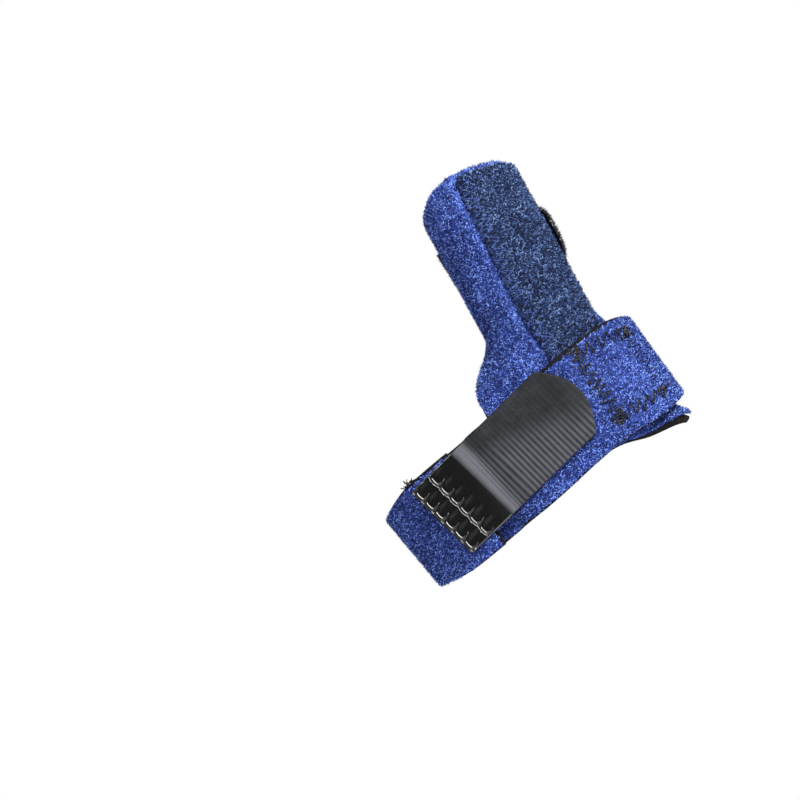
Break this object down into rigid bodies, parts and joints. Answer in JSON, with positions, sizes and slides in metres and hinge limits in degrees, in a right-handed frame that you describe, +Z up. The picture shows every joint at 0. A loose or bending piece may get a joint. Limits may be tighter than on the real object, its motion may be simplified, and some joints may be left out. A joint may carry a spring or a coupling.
{
  "type": "little finger support brace",
  "caption": "Padded cloth finger sleeve with a pile pocket panel, a finger tab and a hand strap closed by a hook tab.",
  "frame": {"origin": "middle of the space that the hand fills inside the strap, half way up the strap's width", "axes": "+Z up the hand towards the fingers, -Y the palm side, +X the little finger's side of the hand"},
  "size_m": [0.0841, 0.0421, 0.0861],
  "materials": {
    "black_foam": "matt black open foam, bonded behind the blue cloth",
    "brushed_blue_cloth": "royal blue brushed loop cloth with a short mottled pile",
    "navy_loop_pile": "navy blue loop cloth with a longer, paler pile",
    "hook_tape": "charcoal moulded hook tape with fine cross ribs and a satin sheen"
  },
  "bodies": {
    "root": {"sleeve_lining": "black_foam", "sleeve_face": "brushed_blue_cloth", "pocket_panel": "navy_loop_pile", "finger_tab": "hook_tape", "strap_lining": "black_foam", "strap_face": "brushed_blue_cloth", "hand_tab": "hook_tape"}
  },
  "joints": []
}
